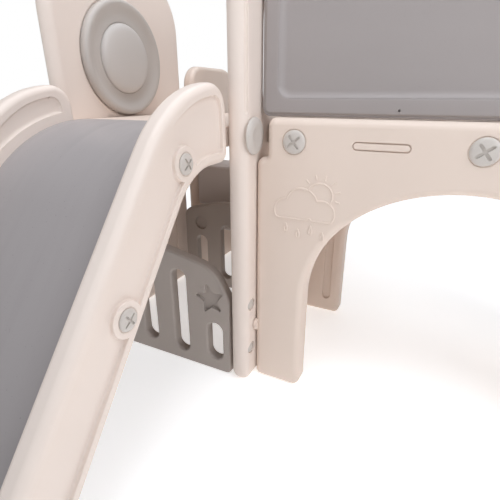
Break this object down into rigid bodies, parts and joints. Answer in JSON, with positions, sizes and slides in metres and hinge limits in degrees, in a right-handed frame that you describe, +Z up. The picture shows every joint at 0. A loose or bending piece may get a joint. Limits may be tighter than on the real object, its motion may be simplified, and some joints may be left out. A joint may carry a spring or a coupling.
{
  "type": "kids slide",
  "caption": "Toddler play set: a tower with a slide, a rear stair and a bridge over a crawl tunnel, in cream and grey moulded plastic, with a turning wheel on one wall",
  "frame": {"origin": "middle of the footprint's bounding box, on the floor", "axes": "+Z up, children slide towards -Y, the bridge runs from the tower towards +X"},
  "size_m": [1.3618, 1.753, 0.96],
  "materials": {
    "cream_panel": "moulded polyethylene, cream, soft satin with a fine grain",
    "grey_panel": "moulded polyethylene, warm grey, satin",
    "slide_surface": "moulded polyethylene, grey, smooth with a soft sheen",
    "wheel_plastic": "moulded polyethylene, light warm grey",
    "pale_fastener": "moulded plastic, pale grey",
    "fence_peg": "moulded plastic, pale grey",
    "axle_plastic": "moulded plastic, pale grey"
  },
  "bodies": {
    "tower": {"arch_panel_front": "cream_panel", "arch_panel_rear": "cream_panel", "arch_screw_front_left": "pale_fastener", "arch_screw_front_middle": "pale_fastener", "arch_screw_front_right": "pale_fastener", "arch_screw_rear_left": "pale_fastener", "arch_screw_rear_middle": "pale_fastener", "arch_screw_rear_right": "pale_fastener", "bridge_bolt_front": "pale_fastener", "bridge_bolt_rear": "pale_fastener", "bridge_deck": "cream_panel", "fence_front": "grey_panel", "fence_peg_front_left_high": "fence_peg", "fence_peg_front_left_low": "fence_peg", "fence_peg_front_right_high": "fence_peg", "fence_peg_front_right_low": "fence_peg", "fence_peg_rear_left_high": "fence_peg", "fence_peg_rear_left_low": "fence_peg", "fence_peg_rear_right_high": "fence_peg", "fence_peg_rear_right_low": "fence_peg", "fence_rear": "grey_panel", "guard_board_front": "grey_panel", "guard_board_rear": "grey_panel", "slide_bed": "slide_surface", "slide_rail_left": "cream_panel", "slide_rail_right": "cream_panel", "slide_screw_left_foot": "pale_fastener", "slide_screw_left_lower": "pale_fastener", "slide_screw_left_upper": "pale_fastener", "slide_screw_right_foot": "pale_fastener", "slide_screw_right_lower": "pale_fastener", "slide_screw_right_upper": "pale_fastener", "stair_screw_left_low": "pale_fastener", "stair_screw_left_middle": "pale_fastener", "stair_screw_left_top": "pale_fastener", "stair_screw_right_low": "pale_fastener", "stair_screw_right_middle": "pale_fastener", "stair_screw_right_top": "pale_fastener", "stair_side_left": "cream_panel", "stair_side_right": "cream_panel", "stair_sill": "cream_panel", "step_1": "grey_panel", "step_2": "grey_panel", "step_3": "grey_panel", "tower_bolt_left_front": "pale_fastener", "tower_bolt_left_rear": "pale_fastener", "tower_bolt_right_front": "pale_fastener", "tower_bolt_right_rear": "pale_fastener", "tower_deck": "cream_panel", "wall_end": "cream_panel", "wall_left": "cream_panel", "wall_right": "cream_panel", "wheel_axle": "axle_plastic", "wheel_washer": "axle_plastic"},
    "wheel": {"play_wheel": "wheel_plastic", "wheel_hub_cap": "wheel_plastic"}
  },
  "joints": [
    {"name": "wheel_spin", "type": "hinge", "parent": "tower", "child": "wheel", "pos_m": [-0.62685, 0.1331, 0.7291], "axis": [1, 0, 0], "continuous": true}
  ]
}
